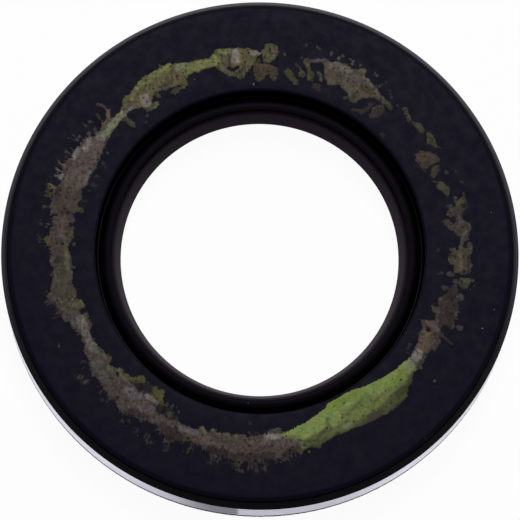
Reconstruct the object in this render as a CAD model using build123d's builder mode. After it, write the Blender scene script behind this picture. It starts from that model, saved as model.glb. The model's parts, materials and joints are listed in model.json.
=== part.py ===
from build123d import *
import os
from math import cos, radians, sin, tan

# Radial shaft seal, 45 x 80 x 10 mm, lying on the back edge of its case.
# The origin is on the axis at the back edge, and +Z points to the air side.
# Sections are drawn as (distance from the axis, height above the back edge).

# Standard size
shaft_d = 45.0
housing_d = 80.0
width = 10.0

# Steel case: a pressed ring with an inward flange, ground on its outside
case_t = 1.2
case_bend_w = 1.3
case_inner_bend = 0.7
back_chamfer_h = 0.5
back_chamfer_w = 0.25

# Rubber cover over the front of the case
front_cover_t = 0.8
lead_in_h = 1.9
lead_in_angle = 31.5
front_corner_r = 1.3
nose_t = 1.85
heel_t = 0.9
heel_w = 3.7
heel_slope = 0.5

# Recess between the front face and the dust lip
recess_depth = 3.0
recess_floor_w = 0.5
recess_draft = 0.6

# Dust lip
dust_lip_squeeze_d = 0.2
dust_lip_depth = 1.85
dust_lip_land = 0.5
dust_lip_flank_w = 1.45
dust_lip_undercut = 1.0

# Main lip, smaller than the shaft when free, so that it grips
lip_squeeze_d = 1.45
lip_depth = 7.5
lip_land = 0.3
air_side_angle = 25.0
oil_side_angle = 45.0
oil_side_h = 1.05

# Membrane between the lips and the case, with a neck above the spring
membrane_t = 1.1
membrane_neck_h = 0.5
membrane_top_gap = 1.1

# Garter spring and its groove
spring_coil_d = 2.0
spring_clearance = 0.05
spring_seat_t = 0.925
spring_offset_h = 0.45
groove_rim_w = 0.6
groove_rim_h = 0.4

# Dried film on the front face
film_t = 0.1

# How many flats stand for a round
corner_flats = 2
spring_flats = 8

# Radii that follow, from the shaft outwards and from the housing inwards
spring_coil_r = spring_coil_d / 2
groove_r = spring_coil_r + spring_clearance
lip_r = (shaft_d - lip_squeeze_d) / 2
toe_r = lip_r + oil_side_h * tan(radians(oil_side_angle))
spring_pitch_r = lip_r + spring_seat_t + groove_r
head_r = spring_pitch_r + groove_rim_w
dust_lip_r = (shaft_d - dust_lip_squeeze_d) / 2
dust_lip_outer_r = dust_lip_r + dust_lip_land
dust_lip_root_r = dust_lip_r + dust_lip_undercut
recess_inner_r = dust_lip_outer_r + dust_lip_flank_w
recess_outer_r = recess_inner_r + recess_floor_w
face_inner_r = recess_outer_r + recess_draft
flange_hole_r = face_inner_r + nose_t
membrane_top_r = flange_hole_r - membrane_top_gap
heel_r = flange_hole_r + heel_w
housing_r = housing_d / 2
case_inner_r = housing_r - case_t
corner_reach = front_corner_r * tan(radians((90 - lead_in_angle) / 2))
face_outer_r = housing_r - lead_in_h * tan(radians(lead_in_angle)) - corner_reach
face_width = face_outer_r - face_inner_r

# Heights that follow, from the front face down, and the neck's radius with them
lead_in_z = width - lead_in_h
flange_top_z = width - front_cover_t
flange_bottom_z = flange_top_z - case_t
flange_middle_z = flange_bottom_z + case_t / 2
heel_z = flange_bottom_z - heel_t
recess_z = width - recess_depth
dust_lip_z = width - dust_lip_depth
lip_z = width - lip_depth
lip_air_z = lip_z + lip_land / 2
lip_oil_z = lip_z - lip_land / 2
toe_z = lip_oil_z - oil_side_h
dust_lip_root_z = lip_air_z + (dust_lip_root_r - lip_r) / tan(radians(air_side_angle))
spring_z = lip_z + spring_offset_h
head_top_z = spring_z + groove_r + groove_rim_h
neck_z = head_top_z + membrane_neck_h
neck_r = lip_r + (neck_z - lip_air_z) * tan(radians(air_side_angle)) + membrane_t


def arc_points(center_r, center_z, radius, start, end, flats):
    """Points along an arc, from one angle to another."""
    turns = [start + (end - start) * i / flats for i in range(flats + 1)]
    return [(center_r + radius * cos(radians(a)), center_z + radius * sin(radians(a))) for a in turns]


def face_point(angle, percent):
    """Point on the front face, from its angle and its share of the face's width."""
    radius = face_inner_r + face_width * percent / 100
    return (radius * cos(radians(angle)), radius * sin(radians(angle)))


def patch_edge(patch):
    """Closed edge of one patch of film."""
    Polyline(*[face_point(angle, percent) for angle, percent in patch], close=True)


case_corners = [
    (housing_r - back_chamfer_w, 0),
    (housing_r, back_chamfer_h),
    (housing_r, lead_in_z),
    (housing_r - case_bend_w, flange_top_z),
    (flange_hole_r, flange_top_z),
    (flange_hole_r, flange_bottom_z),
    (case_inner_r - case_inner_bend, flange_bottom_z),
    (case_inner_r, flange_bottom_z - case_inner_bend),
    (case_inner_r, 0),
]

# Outside of the moulded body, closed through the middle of the case, which is cut away after
body_corners = [
    (housing_r, lead_in_z),
    *arc_points(face_outer_r, width - front_corner_r, front_corner_r, lead_in_angle, 90, corner_flats),
    (face_inner_r, width),
    (recess_outer_r, recess_z),
    (recess_inner_r, recess_z),
    (dust_lip_outer_r, dust_lip_z),
    (dust_lip_r, dust_lip_z),
    (dust_lip_root_r, dust_lip_root_z),
    (lip_r, lip_air_z),
    (lip_r, lip_oil_z),
    (toe_r, toe_z),
    (head_r, toe_z),
    (head_r, head_top_z),
    (neck_r, neck_z),
    (membrane_top_r, heel_z),
    (heel_r, heel_z),
    (heel_r + heel_slope, flange_bottom_z),
    (heel_r + heel_slope, flange_middle_z),
    (case_inner_r, flange_middle_z),
    (case_inner_r, lead_in_z),
]

# Patches of dried film: (angle from +X, percent of the face's width from its inner edge)
green_patches = [
    [(277, 29), (281, 40), (285.5, 49), (292, 43), (299, 45), (306, 48), (311, 53), (317, 42),
     (323, 36), (323.2, 23), (315, 17), (306, 7), (299, 4), (293, 4), (286, 16)],
    [(225.2, 18), (229.5, 12), (227.5, 8)],
    [(232.5, 14), (238, 19), (235.5, 8)],
    [(134.3, 30), (136, 25), (135, 17)],
]
brown_patches = [
    [(134.4, 42), (143, 48), (148, 57), (156, 59), (163, 64), (173, 52), (177, 58), (184, 50),
     (190, 56), (194, 67), (202, 45), (210, 44), (216, 51), (227, 60), (237, 46), (244, 56),
     (250, 46), (257, 54), (268, 59), (276, 56), (282.5, 51), (280, 41), (275, 25), (265, 26),
     (250, 33), (242, 32), (236, 22), (222, 20), (215, 28), (208, 30), (201, 24), (186, 30),
     (170, 31), (166, 23), (151, 25), (138, 32)],
    [(324, 36), (334, 41), (338.5, 49), (345, 48), (349.6, 37), (345, 26), (339.5, 31),
     (336.2, 14), (332, 22), (324.5, 23)],
    [(349.2, 48), (352, 56), (352.8, 44)],
]
olive_patches = [
    [(353.4, 45), (356, 56), (361, 54), (366, 58), (369.5, 54), (374, 58), (376, 46), (373.5, 41),
     (371.5, 30), (369.5, 39), (366, 34), (363, 43), (360, 37), (357.5, 28), (354.5, 37)],
    [(6.2, 30), (8.6, 33), (10, 26), (8.2, 23)],
    [(16.7, 37), (18.6, 42), (20.6, 39), (22, 31), (19.6, 28)],
    [(23.2, 30), (25, 41), (26.4, 38), (25.6, 29)],
    [(27, 43), (29.5, 44), (32.5, 30), (30.6, 20), (27.2, 22)],
    [(30.3, 55), (34.5, 56), (35.8, 50), (33.5, 44)],
    [(36.3, 48), (38.5, 53), (40.5, 47), (38.2, 44)],
    [(41.2, 45), (45, 52), (46.5, 48), (43, 42)],
    [(47.6, 40), (53, 43), (58.5, 51), (60.5, 60), (63.5, 53), (70, 55), (75, 46), (78, 41),
     (76, 37), (71.2, 43), (70, 26), (66.5, 22), (64, 29), (60, 17), (57, 20), (54, 34)],
    [(48.8, 33), (51.5, 33), (52.8, 22), (50.5, 15)],
    [(53.2, 27), (54.6, 27), (57, 13), (54, 11)],
    [(72.8, 26), (75, 35), (78.3, 31), (77, 22), (74, 22)],
    [(77.2, 15), (81, 30), (82.3, 25), (80, 18)],
    [(69.8, 11), (71.8, 19), (72.8, 14)],
    [(84.7, 48), (87, 59), (89.6, 50), (87.5, 37)],
    [(84.2, 24), (88, 33), (91, 46), (94, 53), (101, 56), (105, 48), (110, 48), (116, 59),
     (124, 58), (129, 51), (133.6, 43), (129.5, 33), (127.5, 19), (119, 30), (115, 21),
     (111, 33), (106, 37), (101.5, 30), (96.5, 16), (93.5, 30), (91, 11), (86, 13)],
]

with BuildPart() as steel_case:
    with BuildSketch(Plane.XZ):
        with BuildLine():
            Polyline(*case_corners, close=True)
        make_face()
    revolve(axis=Axis.Z)

with BuildPart() as sealing_body:
    with BuildSketch(Plane.XZ):
        with BuildLine():
            Polyline(*body_corners, close=True)
        make_face()
        with BuildLine():
            Polyline(*case_corners, close=True)
        make_face(mode=Mode.SUBTRACT)
        with Locations((spring_pitch_r, spring_z)):
            RegularPolygon(groove_r, spring_flats, mode=Mode.SUBTRACT)
    revolve(axis=Axis.Z)

with BuildPart() as garter_spring:
    with BuildSketch(Plane.XZ):
        with Locations((spring_pitch_r, spring_z)):
            RegularPolygon(spring_coil_r, spring_flats)
    revolve(axis=Axis.Z)

with BuildPart() as green_film:
    with BuildSketch(Plane.XY.offset(width)):
        for patch in green_patches:
            with BuildLine():
                patch_edge(patch)
            make_face()
    extrude(amount=film_t)

with BuildPart() as brown_film:
    with BuildSketch(Plane.XY.offset(width)):
        for patch in brown_patches:
            with BuildLine():
                patch_edge(patch)
            make_face()
    extrude(amount=film_t)

with BuildPart() as olive_film:
    with BuildSketch(Plane.XY.offset(width)):
        for patch in olive_patches:
            with BuildLine():
                patch_edge(patch)
            make_face()
    extrude(amount=film_t)

steel_case.part.label = "steel_case"
sealing_body.part.label = "sealing_body"
garter_spring.part.label = "garter_spring"
green_film.part.label = "green_film"
brown_film.part.label = "brown_film"
olive_film.part.label = "olive_film"

os.makedirs("parts", exist_ok=True)
export_step(steel_case.part, "parts/steel_case.step")
export_step(sealing_body.part, "parts/sealing_body.step")
export_step(garter_spring.part, "parts/garter_spring.step")
export_step(green_film.part, "parts/green_film.step")
export_step(brown_film.part, "parts/brown_film.step")
export_step(olive_film.part, "parts/olive_film.step")
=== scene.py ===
import json
import math

import bmesh
import bpy
import numpy as np
from mathutils import Matrix, Vector

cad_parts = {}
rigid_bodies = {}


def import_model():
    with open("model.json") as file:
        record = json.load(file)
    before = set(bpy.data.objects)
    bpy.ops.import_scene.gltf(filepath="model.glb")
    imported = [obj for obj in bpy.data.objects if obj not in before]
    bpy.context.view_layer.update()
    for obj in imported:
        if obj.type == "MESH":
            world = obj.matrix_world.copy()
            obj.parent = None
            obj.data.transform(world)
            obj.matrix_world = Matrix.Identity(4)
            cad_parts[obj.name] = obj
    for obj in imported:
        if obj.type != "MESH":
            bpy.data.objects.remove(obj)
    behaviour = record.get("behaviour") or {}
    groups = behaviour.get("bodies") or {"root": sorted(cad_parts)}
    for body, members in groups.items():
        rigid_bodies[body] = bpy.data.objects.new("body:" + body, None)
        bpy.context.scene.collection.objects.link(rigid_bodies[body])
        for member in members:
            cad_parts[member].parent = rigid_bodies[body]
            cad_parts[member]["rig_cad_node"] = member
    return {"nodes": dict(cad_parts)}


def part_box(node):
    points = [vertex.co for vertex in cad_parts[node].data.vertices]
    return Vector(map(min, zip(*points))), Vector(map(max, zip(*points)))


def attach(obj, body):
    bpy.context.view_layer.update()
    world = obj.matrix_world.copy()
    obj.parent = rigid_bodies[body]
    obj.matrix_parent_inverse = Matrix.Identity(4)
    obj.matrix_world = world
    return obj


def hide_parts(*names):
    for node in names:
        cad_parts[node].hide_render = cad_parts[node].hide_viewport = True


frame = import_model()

for leftover in [o for o in bpy.data.objects if o.type != "EMPTY" and "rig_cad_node" not in o]:
    bpy.data.objects.remove(leftover)
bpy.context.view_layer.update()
mm = 0.001


def tone(red, green, blue):  # a colour as a screen shows it, 0 to 255, made linear
    parts = [c / 255 for c in (red, green, blue)]
    return tuple(c / 12.92 if c <= 0.04045 else ((c + 0.055) / 1.055) ** 2.4 for c in parts) + (1.0,)


def shown(name, data):  # a new object in the scene
    thing = bpy.data.objects.new(name, data)
    bpy.context.scene.collection.objects.link(thing)
    return thing


# Small helpers for node trees

def put(tree, kind, sockets=None, **settings):  # a socket takes a value, or a link from another socket
    node = tree.nodes.new(kind)
    for key, value in settings.items():
        setattr(node, key, value)
    for key, value in (sockets or {}).items():
        if isinstance(value, bpy.types.NodeSocket):
            tree.links.new(value, node.inputs[key])
        else:
            node.inputs[key].default_value = value
    return node


def calc(tree, operation, *values, clamp=False):
    sockets = dict(enumerate(values))
    return put(tree, "ShaderNodeMath", sockets, operation=operation, use_clamp=clamp).outputs[0]


def times(tree, value, *others):
    for other in others:
        value = calc(tree, "MULTIPLY", value, other)
    return value


def vectorCalc(tree, operation, sockets):
    return put(tree, "ShaderNodeVectorMath", sockets, operation=operation).outputs


def apart(tree, vector):
    return put(tree, "ShaderNodeSeparateXYZ", {0: vector}).outputs


def together(tree, *parts):
    return put(tree, "ShaderNodeCombineXYZ", dict(enumerate(parts))).outputs[0]


def mixTone(tree, share, first, second, kind="MIX"):
    sockets = {0: share, 6: first, 7: second}
    return put(tree, "ShaderNodeMix", sockets, data_type="RGBA", blend_type=kind).outputs[2]


def between(tree, value, low, high, least=0.0, most=1.0):  # smooth step from least to most
    sockets = {"Value": value, "From Min": low, "From Max": high, "To Min": least, "To Max": most}
    return put(tree, "ShaderNodeMapRange", sockets, interpolation_type="SMOOTHSTEP").outputs[0]


def noise(tree, place, scale, detail, rough, warp=0.0):
    sockets = {"Vector": place, "Scale": scale, "Detail": detail, "Roughness": rough, "Distortion": warp}
    return put(tree, "ShaderNodeTexNoise", sockets).outputs[0]


def both(tree, first, firstLevels, second, secondLevels):  # where two measures are far enough along
    return times(tree, between(tree, first, *firstLevels), between(tree, second, *secondLevels))


def varied(tree, value, least, most):  # most of a noise lies from 0.3 to 0.7
    return between(tree, value, 0.3, 0.7, least, most)


def shaken(tree, value, place, grain, amount):  # a noise moves the value back and forth
    away = calc(tree, "MULTIPLY_ADD", noise(tree, place, *grain), amount, -amount / 2)
    return calc(tree, "ADD", value, away)


def fromAxis(tree, place):  # distance from the axis, and height
    x, y, z = apart(tree, place)
    return vectorCalc(tree, "LENGTH", {0: together(tree, x, y)})["Value"], z


def emptied(owner):  # the bare node tree of a material or a world
    owner.use_nodes = True
    owner.node_tree.nodes.clear()
    return owner.node_tree


def newMaterial(name):  # with its tree, and the piece's own coordinates in millimetres
    material = bpy.data.materials.new(name)
    tree = emptied(material)
    place = put(tree, "ShaderNodeTexCoord").outputs["Object"]
    return material, tree, vectorCalc(tree, "MULTIPLY", {0: place, 1: (1 / mm,) * 3})[0]


def finish(tree, look, colour, rough, relief, metallic=0.0):  # the shader and its bump, which end a material
    strength, depth = look["bump"]
    bump = put(tree, "ShaderNodeBump", {"Height": relief, "Strength": strength, "Distance": depth})
    shader = put(tree, "ShaderNodeBsdfPrincipled", {
        "Base Color": colour, "Roughness": rough, "Metallic": metallic, "Normal": bump.outputs[0],
        "Specular IOR Level": look["specular"], "Specular Tint": look.get("specularTone", (1, 1, 1, 1))})
    put(tree, "ShaderNodeOutputMaterial", {0: shader.outputs[0]})


def newGroup(name, values, result):  # takes a place and some values, gives one value
    group = bpy.data.node_groups.new(name, "ShaderNodeTree")
    group.interface.new_socket("Place", in_out="INPUT", socket_type="NodeSocketVector")
    for label, value in values.items():
        group.interface.new_socket(label, in_out="INPUT", socket_type="NodeSocketFloat").default_value = value
    group.interface.new_socket(result, in_out="OUTPUT", socket_type="NodeSocketFloat")
    return group, put(group, "NodeGroupInput").outputs


def shared(tree, group, sockets):
    return put(tree, "ShaderNodeGroup", sockets, node_tree=group).outputs[0]


# Effects that several materials share

effectLook = {
    "lines": (1.0, 4.0, 0.6), "speckEdge": (0.0, 0.45), "speckBright": (0.7, 0.3),
    "scratchCurl": (1.0, 0.3, 0.4), "scratchCloud": (0.35, 2.0, 0.5), "scratchLevels": (0.56, 0.66),
}


def makeTurnedGrain():  # fine lines that run round the axis, on walls and on flat faces alike
    group, given = newGroup("turnedGrain", {"Fineness": 8.0, "Length": 0.25}, "Lines")
    x, y, z = apart(group, given["Place"])
    radius = fromAxis(group, given["Place"])[0]
    along = vectorCalc(group, "SCALE", {0: together(group, x, y), "Scale": given["Length"]})[0]
    alongX, alongY, _ = apart(group, along)
    across = times(group, calc(group, "ADD", radius, z), given["Fineness"])
    lines = noise(group, together(group, alongX, alongY, across), *effectLook["lines"])
    put(group, "NodeGroupOutput", {0: lines})
    return group


def makeSettledDust():  # sparse pale specks, of uneven size and brightness
    group, given = newGroup("settledDust", {"Spacing": 1.6, "Reach": 0.08, "Share": 0.3}, "Specks")
    closeness = calc(group, "DIVIDE", 1.0, given["Spacing"])
    sockets = {"Vector": given["Place"], "Scale": closeness, "Randomness": 1.0}
    cells = put(group, "ShaderNodeTexVoronoi", sockets).outputs
    lot, lotOfSize, lotOfBright = put(group, "ShaderNodeSeparateColor", {0: cells["Color"]}).outputs
    size = times(group, lotOfSize, given["Reach"], closeness)
    spot = calc(group, "SUBTRACT", 1.0, calc(group, "DIVIDE", cells["Distance"], size), clamp=True)
    chosen = calc(group, "LESS_THAN", lot, given["Share"])
    bright = calc(group, "MULTIPLY_ADD", lotOfBright, *effectLook["speckBright"])
    speck = between(group, spot, *effectLook["speckEdge"])
    put(group, "NodeGroupOutput", {0: times(group, speck, chosen, bright)})
    return group


def makeScratches():  # a few thin curved hairlines, where a broad noise is high
    group, given = newGroup("hairScratches", {"Scale": 0.12, "Width": 0.004}, "Lines")
    field = noise(group, given["Place"], given["Scale"], *effectLook["scratchCurl"])
    away = calc(group, "ABSOLUTE", calc(group, "SUBTRACT", field, 0.5))
    line = calc(group, "SUBTRACT", 1.0, calc(group, "DIVIDE", away, given["Width"]), clamp=True)
    cloud = noise(group, given["Place"], *effectLook["scratchCloud"])
    cloud = between(group, cloud, *effectLook["scratchLevels"])
    put(group, "NodeGroupOutput", {0: times(group, line, cloud)})
    return group


turnedGrain = makeTurnedGrain()
settledDust = makeSettledDust()
hairScratches = makeScratches()
print("shared effects made")


def turnedLines(tree, place, fineness, length):
    return shared(tree, turnedGrain, {"Place": place, "Fineness": fineness, "Length": length})


def speckled(tree, place, colour, speck, strength, spacing, reach, share):
    dust = shared(tree, settledDust, {"Place": place, "Spacing": spacing, "Reach": reach, "Share": share})
    return mixTone(tree, times(tree, dust, strength), colour, speck)


# Materials. In the looks, a noise is its scale, detail and roughness; lines are their fineness and length;
# dust is its tone, strength, spacing in mm, reach and share of the places; bump is its strength and depth
# in metres. A pair of radii, heights, turns or levels is where something starts and where it is full.

rubberLook = {
    "face": (0.0013, 0.0008, 0.0058, 1), "faceHeights": (9.3, 9.9), "inner": (0.0010, 0.0007, 0.0010, 1),
    "bloom": (0.0040, 0.0032, 0.0090, 1), "cloud": (0.16, 4.0, 0.6), "cloudLevels": (0.42, 0.75),
    "bloomShare": 0.14, "scratch": (0.02, 0.018, 0.03, 1), "scratchScale": 0.11, "scratchWidth": 0.003,
    "scratchShare": 0.35,
    "dust": (tone(170, 168, 164), 0.6, 1.7, 0.12, 0.22), "wear": (0.5, 3.0, 0.6), "rough": (0.50, 0.62),
    "grain": (9.0, 3.0, 0.6), "lines": (7.0, 0.15), "reliefShares": (0.6, 0.4), "bump": (0.25, 0.00003),
    "specular": 0.085, "specularTone": (0.90, 0.84, 1.0, 1),
}
darkRubberLook = {  # the slope behind the front corner, and the recess with its lips
    "base": (0.0006, 0.0005, 0.0008, 1), "lipRadii": (23.3, 22.6), "lipHeights": (7.1, 6.2),
    "crestRadii": (24.4, 23.7), "crestHeights": (7.2, 7.9), "paintedSheenRadii": (39.25, 39.65),
    # the rim tone lightens the slope's outer part except towards the bottom: a painted sheen
    "paintedSheenAlong": (-20.0, -2.0), "rim": (0.028, 0.023, 0.045, 1), "lines": (5.0, 0.15),
    "dust": (tone(170, 168, 164), 0.4, 2.1, 0.1, 0.2), "bump": (0.15, 0.00002),
}
darkRubberLooks = {
    # the slope's rubber is a darker copy of the face rubber, near black with weak, dark-tinted reflection:
    # painted shade on the slope
    "shadedSlopeRubber": {"lip": darkRubberLook["base"], "crest": darkRubberLook["base"],
                    "rough": (0.21, 0.29), "specular": 0.04, "specularTone": (0.06, 0.05, 0.07, 1)},
    # in the recess rubber, the near-black base left on the walls, the floor and the root under the dust lip
    # is painted shade
    "lipRubber": {"lip": (0.0265, 0.0180, 0.0300, 1), "crest": (0.0056, 0.0046, 0.0072, 1),
                  "rough": (0.36, 0.44), "specular": 0.008, "specularTone": (0.9, 0.8, 0.9, 1)},
}


def makeRubber():
    look = rubberLook
    material, tree, place = newMaterial("mouldedRubber")
    cloud = between(tree, noise(tree, place, *look["cloud"]), *look["cloudLevels"], 0.0, look["bloomShare"])
    face = mixTone(tree, cloud, look["face"], look["bloom"])
    onFace = between(tree, fromAxis(tree, place)[1], *look["faceHeights"])
    colour = mixTone(tree, onFace, look["inner"], face)
    sockets = {"Place": place, "Scale": look["scratchScale"], "Width": look["scratchWidth"]}
    scratches = times(tree, shared(tree, hairScratches, sockets), look["scratchShare"])
    colour = mixTone(tree, scratches, colour, look["scratch"])
    colour = speckled(tree, place, colour, *look["dust"])
    rough = varied(tree, noise(tree, place, *look["wear"]), *look["rough"])
    grainShare, lineShare = look["reliefShares"]
    grain = times(tree, noise(tree, place, *look["grain"]), grainShare)
    relief = calc(tree, "ADD", grain, times(tree, turnedLines(tree, place, *look["lines"]), lineShare))
    finish(tree, look, colour, rough, relief)
    return material


def makeDarkRubber(name, look):
    material, tree, place = newMaterial(name)
    radius, height = fromAxis(tree, place)
    # in the recess the walls, the floor and the root under the dust lip keep the near-black base, a painted
    # shade in the recess; the lip and the crest get lighter tones
    onLip = both(tree, radius, look["lipRadii"], height, look["lipHeights"])
    onCrest = both(tree, radius, look["crestRadii"], height, look["crestHeights"])
    # a lighter tone on the slope's outer part, fading out towards the bottom: painted sheen
    along = apart(tree, place)[1]
    onPaintedSheen = both(tree, radius, look["paintedSheenRadii"], along, look["paintedSheenAlong"])
    colour = mixTone(tree, onLip, look["base"], look["lip"])
    colour = mixTone(tree, onCrest, colour, look["crest"])
    colour = mixTone(tree, onPaintedSheen, colour, look["rim"])
    colour = speckled(tree, place, colour, *look["dust"])
    lines = turnedLines(tree, place, *look["lines"])
    finish(tree, look, colour, varied(tree, lines, *look["rough"]), lines)
    return material


steelLook = {
    "ground": tone(226, 222, 243), "groundDull": tone(196, 190, 216), "groundRadii": (39.85, 39.9),
    "groundAboveShadowHeights": (1.7, 1.82), "groundRough": (0.22, 0.42), "lines": (11.0, 0.05),
    "broadLines": (2.2, 0.12), "broadLevels": (0.45, 0.75), "broadShare": 0.6,
    "blotch": (0.35, 3.0, 0.6), "blotchLevels": (0.42, 0.68), "blotchShare": 0.5,
    "stain": tone(84, 79, 108), "stainTurns": (245.0, 261.0), "stainEnds": (264.5, 265.7),
    "stainShare": 0.9, "stainShine": 0.75, "stainEdge": (0.9, 3.0, 0.6), "stainRagged": 3.0,
    # the darker tone around the bottom of the ground wall is a painted darker reflection
    "dim": tone(158, 152, 176), "paintedShadeTurns": (232.0, 250.0), "paintedShadeEnds": (306.0, 284.0), "paintedShadeShare": 0.75,
    # the raw tone is bare steel, and on the outer wall below the ground band it is a painted contact shadow
    "rawAndShadowTone": tone(38, 36, 42), "rawPale": tone(56, 53, 60), "rawCloud": (0.6, 5.0, 0.7),
    "rawLevels": (0.35, 0.75), "rawRough": 0.55, "rawMetallic": 0.1, "edge": (2.6, 3.0, 0.6),
    "edgeRagged": 0.5, "dust": (tone(84, 79, 108), 0.7, 2.4, 0.3, 0.25), "specular": 0.02,
    "bump": (0.3, 0.00002),
}


def makeSteel():
    look = steelLook
    material, tree, place = newMaterial("groundSteel")
    radius, height = fromAxis(tree, place)
    lines = turnedLines(tree, place, *look["lines"])
    blotch = between(tree, noise(tree, place, *look["blotch"]), *look["blotchLevels"])
    broad = turnedLines(tree, place, *look["broadLines"])
    broad = between(tree, broad, *look["broadLevels"], 0.0, look["broadShare"])
    dull = calc(tree, "ADD", times(tree, blotch, look["blotchShare"]), broad, clamp=True)
    ground = mixTone(tree, dull, look["ground"], look["groundDull"])

    # a stretch of the ground wall around the bottom is darkened, a painted darker reflection, and on it a
    # stain that is sharp at its far end
    x, y, _ = apart(tree, place)
    turn = calc(tree, "ARCTAN2", x, times(tree, y, -1.0))
    degrees = calc(tree, "ADD", times(tree, turn, 180 / math.pi), 270.0)
    degrees = shaken(tree, degrees, place, look["stainEdge"], look["stainRagged"])
    stainStart = between(tree, degrees, *look["stainTurns"])
    stain = times(tree, stainStart, between(tree, degrees, *look["stainEnds"], 1.0, 0.0))
    dim = both(tree, degrees, look["paintedShadeTurns"], degrees, look["paintedShadeEnds"])
    ground = mixTone(tree, times(tree, dim, look["paintedShadeShare"]), ground, look["dim"])
    ground = mixTone(tree, times(tree, stain, look["stainShare"]), ground, look["stain"])

    # raw steel everywhere else, with a ragged edge between the two; on the outer wall the raw tone below the
    # ground band is a painted contact shadow along the back edge
    cloud = between(tree, noise(tree, place, *look["rawCloud"]), *look["rawLevels"])
    rawAndShadowTone = mixTone(tree, cloud, look["rawAndShadowTone"], look["rawPale"])
    height = shaken(tree, height, place, look["edge"], look["edgeRagged"])
    bare = both(tree, height, look["groundAboveShadowHeights"], radius, look["groundRadii"])
    colour = speckled(tree, place, mixTone(tree, bare, rawAndShadowTone, ground), *look["dust"])
    shine = times(tree, bare, calc(tree, "SUBTRACT", 1.0, times(tree, stain, look["stainShine"])))
    metallic = between(tree, shine, 0.0, 1.0, look["rawMetallic"], 1.0)
    rough = varied(tree, lines, *look["groundRough"])
    rough = put(tree, "ShaderNodeMix", {0: bare, 2: look["rawRough"], 3: rough}, data_type="FLOAT").outputs[0]
    finish(tree, look, colour, rough, lines, metallic)
    return material


wireLook = {
    "wire": tone(150, 148, 152), "oiled": tone(84, 78, 74), "film": (0.5, 4.0, 0.6),
    "filmLevels": (0.4, 0.65), "dust": (tone(84, 78, 74), 0.6, 0.8, 0.2, 0.2), "grain": (14.0, 3.0, 0.6),
    "rough": (0.24, 0.45), "specular": 0.5, "bump": (0.3, 0.00002),
}


def makeWire():
    look = wireLook
    material, tree, place = newMaterial("springWire")
    film = between(tree, noise(tree, place, *look["film"]), *look["filmLevels"])
    colour = speckled(tree, place, mixTone(tree, film, look["wire"], look["oiled"]), *look["dust"])
    grain = noise(tree, place, *look["grain"])
    finish(tree, look, colour, varied(tree, grain, *look["rough"]), grain, 1.0)
    return material


crustLook = {
    "mottleLevels": (0.28, 0.74), "fleckSpread": (0.42, 0.2, 0.3), "speckShift": (7.3, 2.9, 4.1),
    "speckSpread": (0.85, 0.55, 0.26), "rough": (0.95, 0.75), "specular": 0.2, "grain": (5.0, 4.0, 0.7),
    "mottleRelief": 0.7, "bump": (0.6, 0.00008),
}
crustLooks = {  # flecks are a pale tone and its strength, specks a dark tone and their share of the places
    "green": {"mottle": (1.6, 5.0, 0.75), "depth": 0.08, "fleck": (tone(150, 160, 112), 0.2),
              "speck": (tone(52, 52, 26), 0.04)},
    "brown": {"mottle": (2.2, 5.0, 0.75), "depth": 0.16, "fleck": (tone(128, 120, 114), 0.25),
              "speck": (tone(34, 26, 22), 0.22)},
    "olive": {"mottle": (2.0, 5.0, 0.75), "depth": 0.16, "fleck": (tone(126, 122, 104), 0.25),
              "speck": (tone(34, 29, 20), 0.22)},
}


def makeCrust(name, look):
    material, tree, place = newMaterial(name)
    tint = put(tree, "ShaderNodeAttribute", attribute_name="zoneTint").outputs["Color"]
    mottle = noise(tree, place, *look["mottle"])
    shade = between(tree, mottle, *look["mottleLevels"], 1.0 - look["depth"], 1.0 + look["depth"])
    grey = put(tree, "ShaderNodeCombineColor", {0: shade, 1: shade, 2: shade}).outputs[0]
    colour = mixTone(tree, 1.0, tint, grey, "MULTIPLY")
    colour = speckled(tree, place, colour, *look["fleck"], *look["fleckSpread"])
    shifted = vectorCalc(tree, "ADD", {0: place, 1: look["speckShift"]})[0]
    speck, share = look["speck"]
    colour = speckled(tree, shifted, colour, speck, *look["speckSpread"], share)
    relief = calc(tree, "ADD", times(tree, mottle, look["mottleRelief"]), noise(tree, place, *look["grain"]))
    finish(tree, look, colour, varied(tree, mottle, *look["rough"]), relief)
    return material


rubberMaterial = makeRubber()
darkRubbers = [makeDarkRubber(name, darkRubberLook | look) for name, look in darkRubberLooks.items()]
steelMaterial = makeSteel()
wireMaterial = makeWire()
crustMaterials = {kind: makeCrust(kind + "Crust", crustLook | look) for kind, look in crustLooks.items()}
print("materials made")


# Turned pieces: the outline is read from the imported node, its corners are rounded, and it is spun

# In mm and degrees, but same is in metres. A rounding takes up no more than a share of the sides next to it
outlineRules = {
    "same": 1e-7, "straight": 1e-4, "sameCorner": 0.05, "onArc": 0.06, "leastTurn": 14, "mostShare": 0.45,
    "roundSteps": 4,
}


def sides(corners):  # each corner with the next, round to the first
    return list(zip(corners, corners[1:] + corners[:1]))


def sectionOf(nodeName):  # (radius, height) in millimetres, anticlockwise
    same = outlineRules["same"]
    work = bmesh.new()
    work.from_mesh(frame["nodes"][nodeName].data)
    bmesh.ops.remove_doubles(work, verts=work.verts, dist=same)
    seam = {v for v in work.verts if abs(v.co.y) < same and v.co.x > 0}
    walk = [max(seam, key=lambda v: (v.co.z, v.co.x))]
    while True:
        ahead = [e.other_vert(walk[-1]) for e in walk[-1].link_edges if e.other_vert(walk[-1]) in seam]
        ahead = [v for v in ahead if v not in walk]
        if not ahead:
            break
        walk.append(ahead[0])
    corners = [(v.co.x / mm, v.co.z / mm) for v in walk]
    work.free()
    if sum(a[0] * b[1] - b[0] * a[1] for a, b in sides(corners)) < 0:
        corners.reverse()
    kept = []
    for i, (r, z) in enumerate(corners):  # places on a straight stretch are left out
        before, after = corners[i - 1], corners[(i + 1) % len(corners)]
        bend = (r - before[0]) * (after[1] - z) - (z - before[1]) * (after[0] - r)
        if abs(bend) > outlineRules["straight"] * math.dist(before, (r, z)) * math.dist((r, z), after):
            kept.append((r, z))
    return kept


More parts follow.
